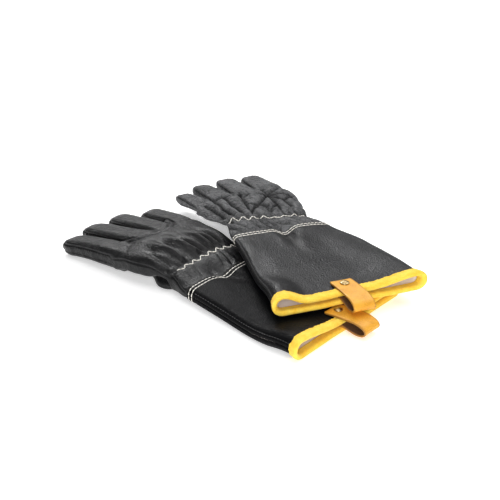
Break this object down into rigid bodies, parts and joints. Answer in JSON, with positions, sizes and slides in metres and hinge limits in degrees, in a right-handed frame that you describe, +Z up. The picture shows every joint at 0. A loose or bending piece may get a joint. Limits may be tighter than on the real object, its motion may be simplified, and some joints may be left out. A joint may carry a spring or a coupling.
{
  "type": "heat resistant glove",
  "caption": "Pair of long-cuffed leather heat resistant gloves with elasticated wrists, bound mouths and riveted hanging straps, lying palm down one across the other.",
  "frame": {"origin": "middle of the pair's bounding box, on the surface the pair lies on", "axes": "+Z up from that surface; the right glove's fingers point along -X and its thumb side faces -Y"},
  "size_m": [0.3736, 0.3045, 0.046],
  "materials": {
    "black_leather": "satin grain",
    "yellow_split_leather": "matte split",
    "tan_leather": "smooth vegetable tanned",
    "lining_cloth": "brushed cotton",
    "elastic_web": "woven",
    "off_white_thread": "twisted thread",
    "aged_brass": "antiqued, polished dome"
  },
  "bodies": {
    "right_glove": {"right_cuff_back_panel": "black_leather", "right_cuff_palm_panel": "black_leather", "right_cuff_lining": "lining_cloth", "right_cuff_binding": "yellow_split_leather", "right_hand_back": "black_leather", "right_hand_palm": "black_leather", "right_hand_lining": "lining_cloth", "right_wrist_elastic": "elastic_web", "right_wrist_zigzag_thread": "off_white_thread", "right_cuff_seam_thread_outer": "off_white_thread", "right_cuff_seam_thread_inner": "off_white_thread", "right_rivet_cap": "aged_brass", "right_rivet_shank": "aged_brass"},
    "right_index_finger": {"right_index_back": "black_leather", "right_index_palm": "black_leather", "right_index_little_side_strip": "black_leather"},
    "right_middle_finger": {"right_middle_back": "black_leather", "right_middle_palm": "black_leather", "right_middle_little_side_strip": "black_leather", "right_middle_thumb_side_strip": "black_leather"},
    "right_ring_finger": {"right_ring_back": "black_leather", "right_ring_palm": "black_leather", "right_ring_little_side_strip": "black_leather", "right_ring_thumb_side_strip": "black_leather"},
    "right_little_finger": {"right_little_back": "black_leather", "right_little_palm": "black_leather", "right_little_thumb_side_strip": "black_leather"},
    "right_thumb": {"right_thumb_back": "black_leather", "right_thumb_palm": "black_leather"},
    "right_strap": {"right_hang_strap": "tan_leather"},
    "left_glove": {"left_cuff_back_panel": "black_leather", "left_cuff_palm_panel": "black_leather", "left_cuff_lining": "lining_cloth", "left_cuff_binding": "yellow_split_leather", "left_hand_back": "black_leather", "left_hand_palm": "black_leather", "left_hand_lining": "lining_cloth", "left_wrist_elastic": "elastic_web", "left_wrist_zigzag_thread": "off_white_thread", "left_cuff_seam_thread_outer": "off_white_thread", "left_cuff_seam_thread_inner": "off_white_thread", "left_rivet_cap": "aged_brass", "left_rivet_shank": "aged_brass"},
    "left_index_finger": {"left_index_back": "black_leather", "left_index_palm": "black_leather", "left_index_little_side_strip": "black_leather"},
    "left_middle_finger": {"left_middle_back": "black_leather", "left_middle_palm": "black_leather", "left_middle_little_side_strip": "black_leather", "left_middle_thumb_side_strip": "black_leather"},
    "left_ring_finger": {"left_ring_back": "black_leather", "left_ring_palm": "black_leather", "left_ring_little_side_strip": "black_leather", "left_ring_thumb_side_strip": "black_leather"},
    "left_little_finger": {"left_little_back": "black_leather", "left_little_palm": "black_leather", "left_little_thumb_side_strip": "black_leather"},
    "left_thumb": {"left_thumb_back": "black_leather", "left_thumb_palm": "black_leather"},
    "left_strap": {"left_hang_strap": "tan_leather"}
  },
  "joints": [
    {"name": "right_index_curl", "type": "hinge", "parent": "right_glove", "child": "right_index_finger", "pos_m": [-0.10684, -0.10465, 0.02058], "axis": [0, -1, 0], "range_deg": [0, 75]},
    {"name": "right_middle_curl", "type": "hinge", "parent": "right_glove", "child": "right_middle_finger", "pos_m": [-0.10684, -0.07595, 0.01986], "axis": [0, -1, 0], "range_deg": [0, 75]},
    {"name": "right_ring_curl", "type": "hinge", "parent": "right_glove", "child": "right_ring_finger", "pos_m": [-0.10684, -0.04705, 0.01914], "axis": [0, -1, 0], "range_deg": [0, 75]},
    {"name": "right_little_curl", "type": "hinge", "parent": "right_glove", "child": "right_little_finger", "pos_m": [-0.10684, -0.01905, 0.01844], "axis": [0, -1, 0], "range_deg": [0, 75]},
    {"name": "right_thumb_swing", "type": "hinge", "parent": "right_glove", "child": "right_thumb", "pos_m": [-0.04084, -0.09945, 0.006], "axis": [0, 0, 1], "range_deg": [0, 60]},
    {"name": "right_strap_swivel", "type": "hinge", "parent": "right_glove", "child": "right_strap", "pos_m": [0.14466, -0.06145, 0.0133], "axis": [0, 0, 1], "range_deg": [-6, 6]},
    {"name": "left_index_curl", "type": "hinge", "parent": "left_glove", "child": "left_index_finger", "pos_m": [-0.07448, 0.10786, 0.02058], "axis": [-0.4242, -0.9056, 0], "range_deg": [0, 75]},
    {"name": "left_middle_curl", "type": "hinge", "parent": "left_glove", "child": "left_middle_finger", "pos_m": [-0.08666, 0.08187, 0.01986], "axis": [-0.4242, -0.9056, 0], "range_deg": [0, 75]},
    {"name": "left_ring_curl", "type": "hinge", "parent": "left_glove", "child": "left_ring_finger", "pos_m": [-0.09892, 0.0557, 0.01914], "axis": [-0.4242, -0.9056, 0], "range_deg": [0, 75]},
    {"name": "left_little_curl", "type": "hinge", "parent": "left_glove", "child": "left_little_finger", "pos_m": [-0.1108, 0.03034, 0.01844], "axis": [-0.4242, -0.9056, 0], "range_deg": [0, 75]},
    {"name": "left_thumb_swing", "type": "hinge", "parent": "left_glove", "child": "left_thumb", "pos_m": [-0.01692, 0.07515, 0.006], "axis": [0, 0, -1], "range_deg": [0, 60]},
    {"name": "left_strap_swivel", "type": "hinge", "parent": "left_glove", "child": "left_strap", "pos_m": [0.13494, -0.03795, 0.0303], "axis": [0.0206, 0.044, 0.9988], "range_deg": [-6, 6]},
    {"name": "left_glove_lift_off", "type": "slide", "parent": "right_glove", "child": "left_glove", "axis": [0, 0, 1], "range_m": [0, 0.15]}
  ]
}
